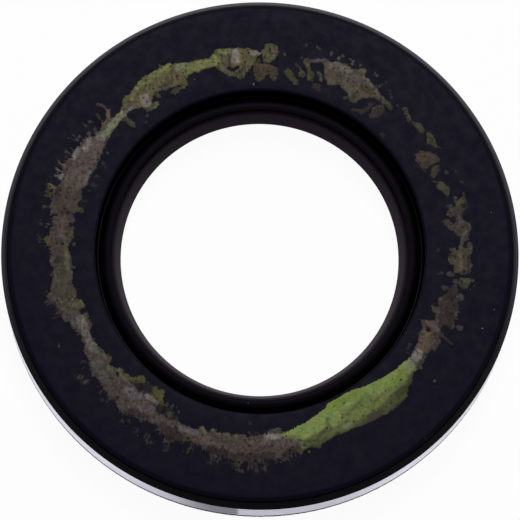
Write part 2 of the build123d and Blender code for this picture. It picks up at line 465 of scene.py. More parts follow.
def arcThrough(corners, centre, size, step):  # a run of flats about a centre becomes a true arc
    near = [abs(math.dist(c, centre) - size) < outlineRules["onArc"] for c in corners]
    first = next(i for i in range(len(corners)) if near[i] and not near[i - 1])
    ordered = corners[first:] + corners[:first]
    run = [c for c, isNear in zip(ordered, near[first:] + near[:first]) if isNear]
    turns = np.unwrap([math.atan2(z - centre[1], r - centre[0]) for r, z in run])
    sizes = [math.dist(c, centre) for c in run]
    count = max(2, int(abs(turns[-1] - turns[0]) / math.radians(step)))
    fine = np.linspace(turns[0], turns[-1], count + 1)
    lengths = np.interp(fine, turns, sizes) if turns[-1] > turns[0] else np.interp(-fine, -turns, sizes)
    arc = [(centre[0] + s * math.cos(a), centre[1] + s * math.sin(a)) for a, s in zip(fine, lengths)]
    return arc + ordered[len(run):]


def isSame(here, there):
    return math.dist(here, there) < outlineRules["sameCorner"]


def moved(corners, moves):
    result = []
    for corner in corners:
        near = (places for here, places in moves.items() if isSame(here, corner))
        result += next(near, [corner])
    return result


def softened(corners, rounds, usual):  # rounds the corners of an outline
    result = []
    for i, (r, z) in enumerate(corners):
        before, after = corners[i - 1], corners[(i + 1) % len(corners)]
        back, ahead = math.dist(before, (r, z)), math.dist((r, z), after)
        size = next((s for *place, s in rounds if isSame(place, (r, z))), usual)
        turn = abs(math.atan2(r - before[0], z - before[1]) - math.atan2(after[0] - r, after[1] - z))
        turn = min(turn, 2 * math.pi - turn)
        if turn < math.radians(outlineRules["leastTurn"]) or size == 0:
            result.append((r, z))
            continue
        reach = min(size * math.tan(turn / 2), outlineRules["mostShare"] * min(back, ahead))
        a = (r + (before[0] - r) * reach / back, z + (before[1] - z) * reach / back)
        b = (r + (after[0] - r) * reach / ahead, z + (after[1] - z) * reach / ahead)
        for k in range(outlineRules["roundSteps"] + 1):
            t = k / outlineRules["roundSteps"]
            curve = ((1 - t) ** 2 * p + 2 * t * (1 - t) * q + t * t * s for p, q, s in zip(a, (r, z), b))
            result.append(tuple(curve))
    return result


def divided(corners, longest):  # long straight stretches get points of their own
    result = []
    for a, b in sides(corners):
        parts = max(1, math.ceil(math.dist(a, b) / longest))
        result += [(a[0] + (b[0] - a[0]) * k / parts, a[1] + (b[1] - a[1]) * k / parts) for k in range(parts)]
    return result


def meshPiece(name, points, faces, material, sharp):  # points in mm, edges sharper than an angle stay sharp
    mesh = bpy.data.meshes.new(name)
    mesh.from_pydata([tuple(p) for p in np.asarray(points) * mm], [], faces)
    mesh.validate()
    mesh.materials.append(material)
    mesh.shade_smooth()
    mesh.set_sharp_from_angle(angle=math.radians(sharp))
    return shown(name, mesh)


scatter = {"x": 127.1, "y": 311.7, "seed": 74.7, "spread": 43758.5453, "full": 1.6}


def grain2d(x, y, size, seed):  # smooth gradient noise, about -1 to 1
    u, v = x / size, y / size
    i, j = np.floor(u), np.floor(v)
    fu, fv = u - i, v - j

    def corner(a, b):  # a direction made from the corner's own numbers, the same on each run
        spin = (i + a) * scatter["x"] + (j + b) * scatter["y"] + seed * scatter["seed"]
        spin = np.sin(spin) * scatter["spread"]
        spin = (spin - np.floor(spin)) * 2 * math.pi
        return np.cos(spin) * (fu - a) + np.sin(spin) * (fv - b)

    su, sv = fu * fu * fu * (fu * (fu * 6 - 15) + 10), fv * fv * fv * (fv * (fv * 6 - 15) + 10)
    low = corner(0, 0) * (1 - su) + corner(1, 0) * su
    high = corner(0, 1) * (1 - su) + corner(1, 1) * su
    return scatter["full"] * (low * (1 - sv) + high * sv)


def stepUp(value, low, high):
    t = np.clip((value - low) / (high - low), 0, 1)
    return t * t * (3 - 2 * t)


def spun(shape, materials, uneven=None):
    section = sectionOf(shape["node"])
    for arc in shape["arcs"]:
        section = arcThrough(section, *arc)
    section = softened(moved(section, shape["worn"]), seamCorners + shape["rounds"], shape["usualRound"])
    section = divided(section, shape["longest"])
    print(shape["node"], "outline points", len(section))
    count, n = shape["turns"], len(section)
    turns = np.arange(count) * 2 * math.pi / count
    r, z = (np.repeat(np.array(section)[None, :, axis], count, 0) for axis in (0, 1))
    if uneven:
        r, z = uneven(r, z, np.repeat(turns[:, None], n, 1))
    points = np.stack([r * np.cos(turns)[:, None], r * np.sin(turns)[:, None], z], -1).reshape(-1, 3)
    k, i = np.meshgrid(np.arange(count), np.arange(n), indexing="ij")
    nextK, nextI = (k + 1) % count, (i + 1) % n
    faces = np.stack([k * n + i, nextK * n + i, nextK * n + nextI, k * n + nextI], -1).reshape(-1, 4)
    piece = meshPiece(shape["piece"], points, faces.tolist(), materials[0], shape["sharp"])
    if len(materials) > 1:
        for material in materials[1:]:
            piece.data.materials.append(material)
        middles = [((a[0] + b[0]) / 2, (a[1] + b[1]) / 2) for a, b in sides(section)]
        finishes = [next((f for f, r0, r1, z0, z1 in shape["finishes"] if r0 < r < r1 and z0 < z < z1), 0)
                    for r, z in middles]
        piece.data.polygons.foreach_set("material_index", finishes * count)
    return piece


# Corners are radius, height and rounding in mm. Where rubber meets steel they stay sharp
seamCorners = [(40.0, 8.1, 0.0), (38.7, 9.2, 0.0), (27.3, 9.2, 0.0), (27.3, 8.0, 0.0)]
bodyShape = {
    "piece": "sealingBody", "node": "sealing_body", "turns": 640, "longest": 1.6, "usualRound": 0.10,
    "sharp": 40,
    "arcs": [((38.108, 8.7), 1.3, 6.0), ((23.75, 2.95), 1.05, 12.0)],  # front corner and groove
    "worn": {  # the free lips are softer than drawn: from a corner, to one or two places
        (24.85, 7.0): [(25.2, 7.0)], (24.35, 7.0): [(24.95, 7.0), (24.3, 7.6)],
        (22.9, 8.15): [(23.5, 8.2)], (22.4, 8.15): [(22.95, 7.85)],
        (23.4, 6.135): [(23.25, 6.75), (22.5, 6.4)], (21.775, 2.65): [(21.6, 3.4)],
    },
    "rounds": [
        (25.45, 10.0, 0.42), (25.2, 7.0, 0.1), (24.95, 7.0, 0.12), (24.3, 7.6, 1.0), (23.5, 8.2, 0.6),
        (22.95, 7.85, 0.15), (23.25, 6.75, 0.3), (22.5, 6.4, 0.4), (21.6, 3.4, 0.1), (21.775, 2.35, 0.05),
        (26.2, 7.1, 0.5), (23.924, 4.9, 0.4), (31.0, 7.1, 0.4), (24.35, 1.3, 0.18),
    ],
    # finish (0 face, 1 slope, 2 recess and lips), from radius, to radius, low, high
    "finishes": [(1, 38.95, 40.1, 8.1, 9.8), (0, 25.05, 25.45, 6.6, 7.15), (2, 21.0, 25.45, 2.2, 9.75)],
}
caseShape = {
    "piece": "steelCase", "node": "steel_case", "turns": 1440, "longest": 4.0, "usualRound": 0.12,
    "sharp": 40, "arcs": [], "worn": {}, "rounds": [(38.1, 8.0, 0.4), (38.8, 7.3, 0.4), (38.8, 0.0, 0.15)],
    "outside": 40, "burr": 0.05, "burrGrains": [(1, 0.35, 3), (0.6, 0.9, 8)],
    "burrRadii": (39.3, 39.7), "burrHeights": (0.35, 0.75), "burrRise": 0.5, "restHeights": (0.02, 0.2),
}


def caseUneven(r, z, turns):  # small burrs along the back chamfer
    shape = caseShape
    around = turns * shape["outside"]
    burr = sum(weight * grain2d(around, z * 0, size, seed) for weight, size, seed in shape["burrGrains"])
    near = stepUp(r, *shape["burrRadii"]) * (1 - stepUp(z, *shape["burrHeights"]))
    out = shape["burr"] * burr * near
    return r + out, z + shape["burrRise"] * out * stepUp(z, *shape["restHeights"])


body = spun(bodyShape, [rubberMaterial] + darkRubbers)
case = spun(caseShape, [steelMaterial], caseUneven)
print("turned pieces made")


# Garter spring: a wire wound round the ring's own line

springShape = {"wire": 0.4, "turns": 372, "stepsPerTurn": 10, "sides": 6}


def circle(tree, steps, radius):
    return put(tree, "GeometryNodeCurvePrimitiveCircle", {"Resolution": steps, "Radius": radius}).outputs[0]


def makeSpring():
    low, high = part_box("garter_spring")
    coil = (high.z - low.z) / 2
    wire = springShape["wire"] * mm / 2
    inputs = [
        ("Ring Radius", "Float", high.x - coil), ("Coil Radius", "Float", coil - wire),
        ("Wire Radius", "Float", wire), ("Height", "Float", (low.z + high.z) / 2),
        ("Turns", "Int", springShape["turns"]), ("Steps", "Int", springShape["stepsPerTurn"]),
        ("Sides", "Int", springShape["sides"]), ("Finish", "Material", wireMaterial),
    ]
    tree = bpy.data.node_groups.new("woundRing", "GeometryNodeTree")
    newSocket = tree.interface.new_socket
    newSocket("Geometry", in_out="OUTPUT", socket_type="NodeSocketGeometry")
    keys = [newSocket(label, in_out="INPUT", socket_type="NodeSocket" + kind).identifier
            for label, kind, _ in inputs]
    given = put(tree, "NodeGroupInput").outputs
    steps = times(tree, given["Turns"], given["Steps"])
    ringLine = circle(tree, steps, given["Ring Radius"])
    share = put(tree, "GeometryNodeSplineParameter").outputs["Factor"]
    spin = times(tree, share, given["Turns"], 2 * math.pi)
    outward = vectorCalc(tree, "NORMALIZE", {0: put(tree, "GeometryNodeInputPosition").outputs[0]})[0]
    side = times(tree, calc(tree, "COSINE", spin), given["Coil Radius"])
    rise = calc(tree, "MULTIPLY_ADD", calc(tree, "SINE", spin), given["Coil Radius"], given["Height"])
    sideways = vectorCalc(tree, "SCALE", {0: outward, "Scale": side})[0]
    offset = vectorCalc(tree, "ADD", {0: sideways, 1: together(tree, 0, 0, rise)})[0]
    wound = put(tree, "GeometryNodeSetPosition", {"Geometry": ringLine, "Offset": offset}).outputs[0]
    wireLine = circle(tree, given["Sides"], given["Wire Radius"])
    tube = put(tree, "GeometryNodeCurveToMesh", {"Curve": wound, "Profile Curve": wireLine}).outputs[0]
    whole = put(tree, "GeometryNodeRealizeInstances", {0: tube}).outputs[0]
    finished = put(tree, "GeometryNodeSetMaterial", {"Geometry": whole, "Material": given["Finish"]})
    put(tree, "NodeGroupOutput", {0: finished.outputs[0]})
    holder = shown("woundRing", bpy.data.meshes.new("woundRing"))
    modifier = holder.modifiers.new("woundRing", "NODES")
    modifier.node_group = tree
    for key, (_, _, value) in zip(keys, inputs):
        modifier[key] = value
    return flattened(holder, "garterSpring", wireMaterial)


def flattened(holder, name, material):  # the evaluated result becomes a plain mesh
    graph = bpy.context.evaluated_depsgraph_get()
    mesh = bpy.data.meshes.new_from_object(holder.evaluated_get(graph))
    bpy.data.objects.remove(holder)
    work = bmesh.new()
    work.from_mesh(mesh)
    bmesh.ops.remove_doubles(work, verts=work.verts, dist=1e-8)
    bmesh.ops.recalc_face_normals(work, faces=work.faces)
    work.to_mesh(mesh)
    work.free()
    mesh.materials.clear()
    mesh.materials.append(material)
    mesh.shade_smooth()
    return shown(name, mesh)


spring = makeSpring()
print("garter spring wound,", len(spring.data.polygons), "faces")


# Dried crust on the front face. Outlines and strokes, placed by angle and radius, become a field of
# distances for each kind of crust and one field of colours, and a flat-bottomed mesh is cut from each
# kind's field

crustField = {  # lengths in mm and turns in degrees
    "innerRadius": 25.55, "middleRadius": 30.5, "outerRadius": 34.9, "cell": 0.09, "columns": 2080,
    "far": 3.0, "thick": 0.13, "spread": 0.06, "sharp": 50, "gapEdge": 0.06, "brownTurns": (134, 352.5),
    "soft": 0.22, "overPaint": 0.25, "bitSoft": 0.12, "limeSoft": 1.8, "washSoft": 0.8, "washWaver": 2,
    "groundShade": (0.62, 0.55), "calm": 0.5, "calmPits": 1.5,
    "pits": 0.72, "pitLevels": (0.58, 0.85), "finePits": 0.36, "finePitLevels": (0.42, 0.62),
    "edgeShade": 0.42, "edgeLevels": (-0.04, 0.2), "warmDrift": 0.07, "greenDrift": 0.035,
    "blueDrift": 1.3, "relief": (0.62, 0.35, 0.6), "rim": 0.1, "riseLevels": (-0.04, 0.28),
    "reliefLimits": (0.15, 1.0), "leastSteep": 0.15, "moves": (0.6, 18),
    "crumbLevels": (0.86, 0.34), "crumbSlope": 0.45, "crumbFade": 0.28, "crumbStart": 0.25,
    "crumbReach": (0.1, 2),
    "spikes": {  # noises stretched outwards: stretch, shift, size, seed
        "around": 30, "ridges": (0.16, 5, 0.5, 11), "thin": 4, "point": 1.5, "height": 1.3,
        "fine": (0.3, 0, 0.21, 12), "fineHeight": 0.5, "runs": (0, 0, 2.1, 13),
        "runLevels": (-0.6, 0.6), "runHeights": (0.5, 0.9), "crossing": (-0.5, 0.5),
    },
    "grains": {  # noises that are added up: weight, size in mm, seed
        "ground": [(1, 0.9, 81)], "waver": [(0.22, 1.1, 73), (0.16, 0.45, 74)],
        "rough": [(1, 0.9, 31), (0.9, 0.42, 41), (0.6, 0.21, 51)], "crumbs": [(1, 0.42, 21), (0.5, 0.22, 22)],
        "relief": [(0.3, 1.3, 61), (0.3, 0.55, 62), (0.14, 0.27, 63)], "pits": [(1, 0.7, 91), (0.5, 0.3, 92)],
        "finePits": [(1, 0.42, 93)], "warm": [(1, 0.8, 71), (0.6, 1.9, 75)], "green": [(1, 1.1, 72)],
    },
}


def numbersIn(text):
    return [[float(v) for v in part.split()] for part in text.split(",")]


def rowsOf(text):  # each row is a word or two, a colon and its numbers
    rows = (row.split(":") for row in text.split(";"))
    return [(*words.split(), numbersIn(numbers)) for words, numbers in rows]


tints = rowsOf("""faint: 37 35 41; grey: 53 50 53; ash: 68 65 66; dark: 20 15 11; deep: 38 29 28;
    mauve: 48 39 39; umber: 67 58 54; redTan: 60 51 46; rust: 60 49 37; taupe: 74 67 58;
    oliveTaupe: 65 60 50; rose: 80 70 67; lilac: 86 78 82; pinkTan: 80 69 56; tan: 84 78 55;
    bronze: 62 55 42; moss: 58 57 42; olive: 57 56 45; leaf: 102 107 67; leafDim: 77 77 57;
    leafPale: 106 108 87; cream: 94 88 84; white: 113 107 102; lime: 114 129 71; limeBright: 106 122 54;
    film: 30 22 26; mustard: 71 69 42; limeDull: 86 92 56; limeSoft: 96 108 60; limeMid: 67 72 44;
    limeShade: 52 56 34; limeDeep: 60 68 28""")
tints = {name: tone(*parts) for name, [parts] in tints}  # as a screen shows them
# Bands: kind and tint, then angle, inner radius and outer radius
crustBands = rowsOf("""brown umber: 134 29.95 30.85, 135.6 29.75 30.8, 137.5 29.8 31, 139 29.7 31.5,
    141 29.5 31.6, 142.5 29.4 31.2, 144.5 29.4 31.2, 145.6 29.2 31.6, 146.4 29.1 32.2, 148 28.95 32.4,
    149.6 28.7 32.5, 151.5 28.75 32.8, 153 28.5 32.6, 154.5 28.8 33, 156.5 28.75 33.2, 158.3 28.6 33,
    159.6 28.9 33.1, 160.6 29.2 32.6, 162 29.1 32.7, 162.6 28.95 33.6, 163.9 28.9 33.5, 164.4 28.9 33.1,
    165.6 29.3 33.3, 166.3 28.9 33.1, 168 29 33.1, 168.6 29.8 32.85, 170.1 29.1 32.85, 170.5 29 32.4,
    172.2 29.4 32.3, 173.1 29 31.7, 173.6 29 32.5, 175.5 28.9 32.5, 176.5 29.2 33.1, 177.8 29.5 33.2,
    179.2 29.6 32.4, 181 29.4 32, 182.7 29.25 32.5, 184.2 29.25 32.2, 185.1 29.3 31.5, 185.6 29.2 32,
    186.8 29.15 32.45, 187.6 29.1 32.1, 188.6 29.2 32.5, 190 29.6 32.6, 191.3 29.3 32.8, 192.1 29.1 33.7,
    193.1 29.05 33.6, 193.8 29.2 34.15, 194.5 29.3 33.7, 195.4 29.2 32.7, 195.9 28.6 32.6, 197.5 28.35 32.8,
    198.3 28.5 32.2, 198.8 29.4 32.1, 200 29.3 32, 200.2 28.4 31.9, 200.9 28.35 31.4, 202 28.5 31.1,
    204 28.4 30.9, 205.2 28.9 30.9, 206 29.15 30.4, 207 29.2 30.8, 208.6 29.2 30.6, 210.5 29.1 31.4,
    212 29 31.1, 213.8 28.6 31.5, 215 28.5 31.7, 216.5 28.5 32, 217 29.3 32.3, 218.3 29 32, 219.8 28.9 31.8,
    220.4 28.4 31.9, 221.2 28.15 32.2, 222.6 28.3 32.3, 224 28.1 32.3, 224.8 28.1 33, 225.7 27.9 32.6,
    226.6 28 32.2, 228.3 28.1 32.9, 229.6 28.2 32.6, 230.4 28.85 32.9, 231.7 28.8 32.6, 232.2 28.1 32.4,
    233.5 27.9 32.2, 235 27.95 32.3, 236.2 28 31.8, 236.6 28.9 31.6, 238.4 29.4 31.6, 239.6 29.5 31.4,
    240.4 29.8 32.1, 242 29.75 32.2, 243.2 29.6 32.1, 243.8 29.5 32.9, 245.4 29.6 33, 246.2 29.7 32.3,
    248 29.65 31.9, 250 29.7 31.4, 251.3 29.6 31.5, 251.6 28.8 31.6, 252.6 28.8 31.8, 253.6 29.2 31.9,
    254.4 29.6 32.1, 255.1 29.2 32.1, 255.4 28.6 32.2, 256.1 28.9 32.3, 256.5 29 33.2, 257.6 29 33.2,
    258.2 29.3 32.9, 259.4 28.95 32.7, 260.4 28.9 32.5, 261.1 29.5 32.3, 262 29 32.8, 263.6 28.8 32.9,
    265 28.9 32.8, 265.7 29.35 32.5, 266.9 29.1 32.3, 268.6 28.85 32.6, 270.5 28.7 32.6, 272 28.6 32.4,
    272.6 28.2 32.4, 274 28 32.3, 275 27.6 32.4, 275.9 27.75 32.9, 276.2 28.4 32.8, 277.2 28.55 32.6,
    278.4 28.5 32.1, 279 28.5 31.7, 280.6 28.5 32, 282.2 28.5 31.8, 283.6 28.5 31.4, 284.2 29.9 30.1;
    brown umber: 321.6 30 30.15, 322.6 29.6 30.4, 323.4 28.4 30.9, 324.2 28.35 30.3, 326 28.3 30.4,
    327.6 28.3 30.3, 329.3 28.15 30.3, 330 28.05 30.9, 331.5 27.8 31.1, 332.8 27.6 31, 333.8 27.9 30.6,
    334.4 27.7 31.1, 335.4 27.3 30.8, 335.8 27.1 30.3, 336.4 26.9 30.3, 336.9 27.7 30.3, 337.6 28.8 30.4,
    337.8 29.1 32, 339.2 28.8 31.8, 340.1 28.7 31.5, 340.4 28.1 31.9, 341.8 27.8 31.9, 342.2 28.8 31.6,
    342.6 29.1 32.2, 343.2 28.7 31.7, 345 28.5 31.5, 345.8 29 31.3, 346.5 29.2 32.1, 347.4 29.5 32.1,
    348 29.8 31.2, 349.2 30 30.9, 350.4 30.4 30.5;
    green lime: 276.6 28.85 29, 279 28.5 29.45, 281 28.2 29.8, 283 27.9 30.5, 283.6 27.8 31.4,
    285 27.6 31.7, 286.4 27.35 32, 287.2 27.25 31.4, 289.5 26.9 31.25, 292.2 26.45 30.9, 293.6 26 31.05,
    297 25.85 31.05, 300 25.85 31.35, 303 25.95 31.55, 306 26.4 31.75, 309.5 26.8 32.05, 312 27.1 32,
    314.4 27.45 31.9, 316.5 27.65 31.1, 318.4 27.85 30.9, 320.5 28.05 30.35, 322 28.15 29.9,
    323.5 28.4 29.3;
    olive taupe: 51.6 30.2 30.9, 53.2 30.2 31, 54.2 30.05 31.2, 55.2 29.6 31.6, 56.5 29 31.8, 57 28.5 31.8,
    58.2 27.6 32, 59.5 27.35 32.1, 60.2 27.6 33.1, 61 28.45 33.1, 62.2 28.5 32.5, 63.8 28.8 32.1,
    64.9 29.2 32.4, 66.4 28.8 32.4, 67.8 28.45 32.4, 68.8 28.8 32.1, 69.9 29.3 31.9, 70.5 29.9 32.1,
    70.9 30.7 32.1, 71.4 31.4 32.2, 72.6 31.4 31.9, 73.5 31.2 31.7, 75.3 30.9 31.3;
    olive tan: 90 31.1 31.4, 91 30.95 31.8, 91.3 29.9 31.85, 92.3 29.3 32, 93.5 28.8 32.2, 94.8 28.25 32.2,
    95.1 27.5 32.2, 96.6 27.35 32.3, 97.3 27.9 32.2, 99 28.1 32.5, 100.5 28.4 32.5, 101.6 28.8 32.6,
    102.7 29.5 32.2, 103.2 29.95 32, 104.8 30.1 31.5, 107 30.1 31.6, 108.5 29.85 31.7, 110 30.1 31.8,
    111.8 30 32.05, 112.7 29.5 32.2, 113.4 28.6 32.2, 114.8 28.3 32.5, 115.2 29.1 32.7, 116.2 29.1 32.9,
    117.8 29.2 33, 119.3 29.4 32.75, 120.5 29.55 32.9, 121.8 29.75 32.7, 123.4 29.6 32.9, 124.6 29.5 32.75,
    125.3 29.2 32.7, 125.8 28.5 32.6, 128.2 28.35 32.15, 128.8 29.1 32, 130.6 29.7 32.1, 132 29.85 31.8,
    133 29.95 31.2, 134.2 29.95 30.85""")
# Patches: kind and tint, then the angle and radius of each corner
crustPatches = rowsOf("""olive oliveTaupe: -6.5 30.1, -6.5 31.3, -6.2 32.5, -3.8 32.7, -3.3 32.4, -0.8 32.5,
    1.2 32.8, 2.3 32.5, 2 32.1, 0.9 31.9, 0.9 31.4, 1.3 30.8, -0.6 30.4, -0.2 30.15, 0.8 30, 0.8 29.3,
    0.1 29.2, -0.4 29.6, -1 29.1, -3 29, -3.9 29.4, -4.2 29.9, -5.6 30;
    olive redTan: 2.9 31.6, 3.1 32.2, 5.5 32.35, 6.3 32.8, 7.3 32.85, 8.1 32.1, 9 31.7, 10.3 31.6,
    10.3 30.8, 8.4 30.5, 8.1 30.2, 8.9 29.7, 9.9 29.2, 9.6 28.5, 8.4 28.6, 7.1 29.2, 6.3 29.7, 6.4 30.05,
    5.6 30.05, 4.5 30.6, 4 31.1;
    olive redTan: 10.2 31.7, 11.4 32, 12.6 32.8, 14.4 32.9, 16.4 32.7, 15.3 32.4, 15 31.8, 14.2 31.2,
    13 31.05, 12.9 30.3, 12.2 29.7, 11.2 29.35, 10.5 29.9, 10.2 30.8;
    olive olive: 16.6 30.3, 17.6 30.8, 18.9 31, 19.9 30.45, 20.8 30.4, 21.6 29.9, 22.3 28.9, 21.3 29.4,
    20.6 29.05, 19.8 29.1, 18.8 29.6, 17.5 30;
    olive redTan: 23.2 29.4, 24.2 30.3, 25.1 30.7, 26.2 30.8, 26.6 30.4, 26.5 29.9, 25.4 29.5, 24.2 29,
    23.5 29.05;
    olive redTan: 27 28.3, 26.8 29.6, 26.8 30.9, 27.7 31.35, 29 31.15, 30.4 30.7, 31.8 29.95, 32.6 29.2,
    32.3 28.6, 30.7 27.9, 29.4 28.15;
    olive moss: 30.1 32.3, 31 32, 31.8 31.95, 32.8 32.3, 34.4 32.45, 35.8 32.2, 35.3 31.7, 33.9 31.15,
    33.1 31, 32 31.5, 31 31.75;
    olive moss: 36.3 31.4, 37.4 31.85, 38.6 32.1, 39.7 31.7, 40.9 31.2, 39.6 31, 37.5 31.05;
    olive olive: 47.6 30.3, 48.3 30.8, 49.6 31, 50.2 30.9, 52 31, 52 30.4, 51 30, 49.8 30.1, 49 30.1;
    olive mauve: 48.8 29, 49.3 29.8, 51 29.95, 52 29.3, 52.4 28.6, 51.9 27.5, 50.9 27.05, 50 27.4, 49 28;
    olive moss: 75.1 31.2, 76.2 31.3, 77.3 31.35, 77.4 30.7, 76.4 30.2, 75.5 29.5, 75.3 28.8, 74.8 28.15,
    73.2 28.15, 72.9 28.8, 73.3 29.5, 74.5 29.75, 75.2 30.4;
    olive moss: 75.7 28.3, 76 28.9, 76.8 29.3, 77.9 29.7, 77.7 28.8, 77.6 28.2;
    olive mauve: 69.7 26.9, 70 27.8, 71.8 27.9, 72.9 27.7, 72.8 27.2, 71 26.75;
    olive moss: 77 26.8, 77.6 27.6, 79 28.2, 80.2 28.9, 81.5 29.25, 82.4 28.7, 81.5 28.1, 80.2 27.4,
    78.6 27;
    olive leafDim: 84.7 31.7, 85.3 32.5, 86.7 32.95, 88.3 32.7, 89.2 31.9, 89.5 31, 89 30.1, 88.1 29.85,
    86.6 30.1, 85.6 30.8;
    olive bronze: 84.1 28.2, 84.8 29.1, 86.2 29.45, 88 29.6, 89.6 29.7, 90.2 30.3, 91.5 29.8, 91.9 29.2,
    91.8 27.9, 91.3 27, 89.4 26.9, 88.5 27.4, 88.3 27.8, 87 28, 86.6 27.2, 85 27.1, 84.6 27.7;
    olive olive: 115.3 28.6, 116.5 28.9, 118.5 28.8, 119.2 28.5, 118 28, 116.5 28.1;
    olive leafDim: 123.6 28.4, 124.6 28.6, 126 28.3, 128.4 28.2, 128 27.85, 125.6 27.75, 124 28;
    green olive: 134.1 28, 134.3 28.9, 135 29.4, 135.8 28.8, 135.7 28, 134.8 27.5;
    brown film: 225.8 28.4, 227.5 28.3, 229.3 28.6, 230.4 29, 231.6 28.9, 232.8 28.3, 234.2 28.3,
    234.6 27.6, 233.4 27.15, 231.8 26.95, 229.8 26.9, 228.6 27.2, 227.2 27.7;
    brown film: 235.6 28.3, 236.4 29, 237.6 29.5, 239 29.6, 239.2 28.9, 238.6 28.4, 237.6 28.05, 236.4 28;
    brown film: 239.8 28.5, 240.4 29.3, 241.8 29.6, 243 29.4, 243.2 28.9, 242 28.5, 240.8 28.2;
    green mustard: 224.9 28.3, 226.2 28.1, 227.4 27.6, 228.9 27.05, 227.9 26.6, 226.9 26.85, 226 27.5,
    225 28;
    green mustard: 232.8 27, 233.6 27.6, 235 28.1, 236.2 28, 238.1 28.15, 237.2 27.3, 236.2 26.55,
    234.8 26.5, 233.5 26.7;
    brown olive: 349.2 31.8, 349.8 32.5, 351.3 32.6, 352 33.2, 352.4 32.2, 352.2 31.1, 351 31, 350 31.2;
    brown grey: 349.6 30.3, 350.5 30.8, 351.6 30.6, 351.3 30.2""")
# Small bits: tint, then half width and one or two places, each an angle and a radius
crustBits = rowsOf("""faint: .2 -7.2 28.1 -7.4 27.7, .2 19.3 33.05, .22 22.5 32.8, .15 26.3 28.5,
    .27 47 31.4, .13 50 31.8 50.8 31.95, .15 51.4 32.35, .13 78.8 29.95 79.5 30.1, .17 131.2 27,
    .12 150.3 28 151.4 27.3, .15 155.2 27.9 154.9 27.6, .17 158 27.9 158.2 27.3, .17 160.4 28.1,
    .15 164.4 28.4 164.1 28.1, .1 173 34.1 172.8 34.4, .1 176.2 34.4 177.3 33.9, .15 178.8 33,
    .12 191.2 33.4, .1 198.4 33.1 198.4 33.6, .15 212.6 32.3 213 32, .15 214.2 32.9,
    .12 222.3 32.7 222.2 33.1, .17 224 33.7 224.9 33.3, .2 231.6 34, .17 233.2 33.4, .25 236.1 33.9,
    .2 239.3 33.7, .2 240.4 34.35, .2 245 34 245.2 33.5, .2 256.8 33.9, .22 262.6 33.6 263.6 33.4,
    .1 268.2 33.2 268.9 34.4, .1 271.3 33 271.3 34.2, .15 244.1 29.1, .12 266.4 27,
    .12 267.1 28.8 266.7 28.5, .15 283.3 32.2, .12 324.9 27.9 325 27.5, .2 325.9 27.3 327.3 27.3,
    .17 333.6 32.6 334.3 31.5, .22 350.6 33.4, .15 .4 27.4, .3 43.8 26.4 44.3 26.4;
    grey: .35 -7.2 29.7 -7.1 29.3, .25 13.7 30.3 13.8 29.8, .33 23.1 31.35, .2 14.9 31.1 15.6 31.3,
    .2 53.8 33.1, .12 54.2 32.8 54.6 32, .18 57 33.2 57.6 33.3, .1 83 31.5 82.9 31.3,
    .13 73.7 33.3 74.7 33.65, .17 77.6 33.4, .17 77.9 31.3, .18 60 27.9 61.7 27.5, .17 129.5 27.6,
    .12 139.6 33.1 140.2 31.9, .15 142.4 33.25, .2 143.1 32.1 143.8 31.5, .2 143.9 33.4, .13 147.1 33.3,
    .13 148.3 33.2 148.4 33.6, .2 148.2 34, .17 147.1 28.2, .07 151.2 32.9 151 33.4,
    .07 152.7 33.2 152.5 33.9, .07 154.4 33.3, .2 168.3 34, .2 172.9 33 173.3 33.1,
    .17 185.2 28.9 185.3 28.7, .12 205.9 34.4, .2 215.7 34.2 216.1 33.8, .2 217.4 33.9 217.4 33.5,
    .2 241 27.7, .15 243.6 28.05, .17 269.2 28.5, .35 338.5 33.1 338.5 32.8, .3 348.5 29.3 348.4 28.7;
    ash: .17 .9 30.85 2.1 31.12, .18 2.1 31.12 3.7 31.2, .17 3.7 31.3 5.4 31.75, .15 62 33.3, .2 64.2 33.4,
    .15 68.1 33.1 68.1 32.8, .15 64.1 32.9, .25 70.4 33.2, .2 65.2 33.5, .2 67.4 33.45,
    .15 70.6 28.6 71.4 29.4, .15 89.7 31.3, .25 145.1 32.3, .17 322.7 33.6;
    rose: .15 156.2 33.2 156.1 34, .15 158.1 33 157.9 34, .13 159.5 33.2 159.6 33.8;
    moss: .3 42 31.15 44.8 31.8, .2 163.4 33.9, .12 164.5 33.3 164.5 34, .17 165.3 33.4 165.3 34.2,
    .15 71.4 29.3 72.2 29.6, .3 167.1 28.8 167.2 28.3, .25 177.8 28.8, .3 241.6 29.3 241.4 29.1,
    .2 239.2 28.1, .3 122.8 29.5 122.8 29, .08 118 33.2, .17 136.7 33.2 136.9 32.3;
    leafDim: .25 162.6 33.5 162.3 34.1;
    mauve: .28 53.4 29 53.3 28.1, .3 53.3 28.1 54.8 27, .22 54.8 27 57.2 26.6, .2 263 32.5 264.6 34.3,
    .2 267.9 32.4 269.2 34.2, .16 270.5 32.2 271.5 34.2, .17 266.5 32.5 267.4 33.6, .18 257.3 33 257.3 33.8,
    .15 273.3 32 274.3 33, .16 259.2 32.2 258.6 33.3, .15 250.9 31.8 250.5 33.3, .14 276.9 32.4 277.4 33,
    .15 244.9 32.6 245.2 33.3;
    olive: .3 135 29.7 135 29.3;
    redTan: .15 137.4 34.2 136.7 33.2;
    white: .09 92.2 26.35;
    pinkTan: .25 136.9 32.3 138.2 31.5""")
# Cuts through the crust, in the same form
crustGaps = numbersIn(""".2 96.7 29.3 98.3 28.95, .2 98.3 28.95 99.5 29.3, .18 171.9 29.55 172.3 29.5,
    .17 334.2 28.7 334.8 28.6, .1 221 29.15 221.8 29.3, .07 170 31.9 170 32.5, .08 26.7 29.4 26.7 31,
    .07 12.9 32.8 12.5 32.2""")
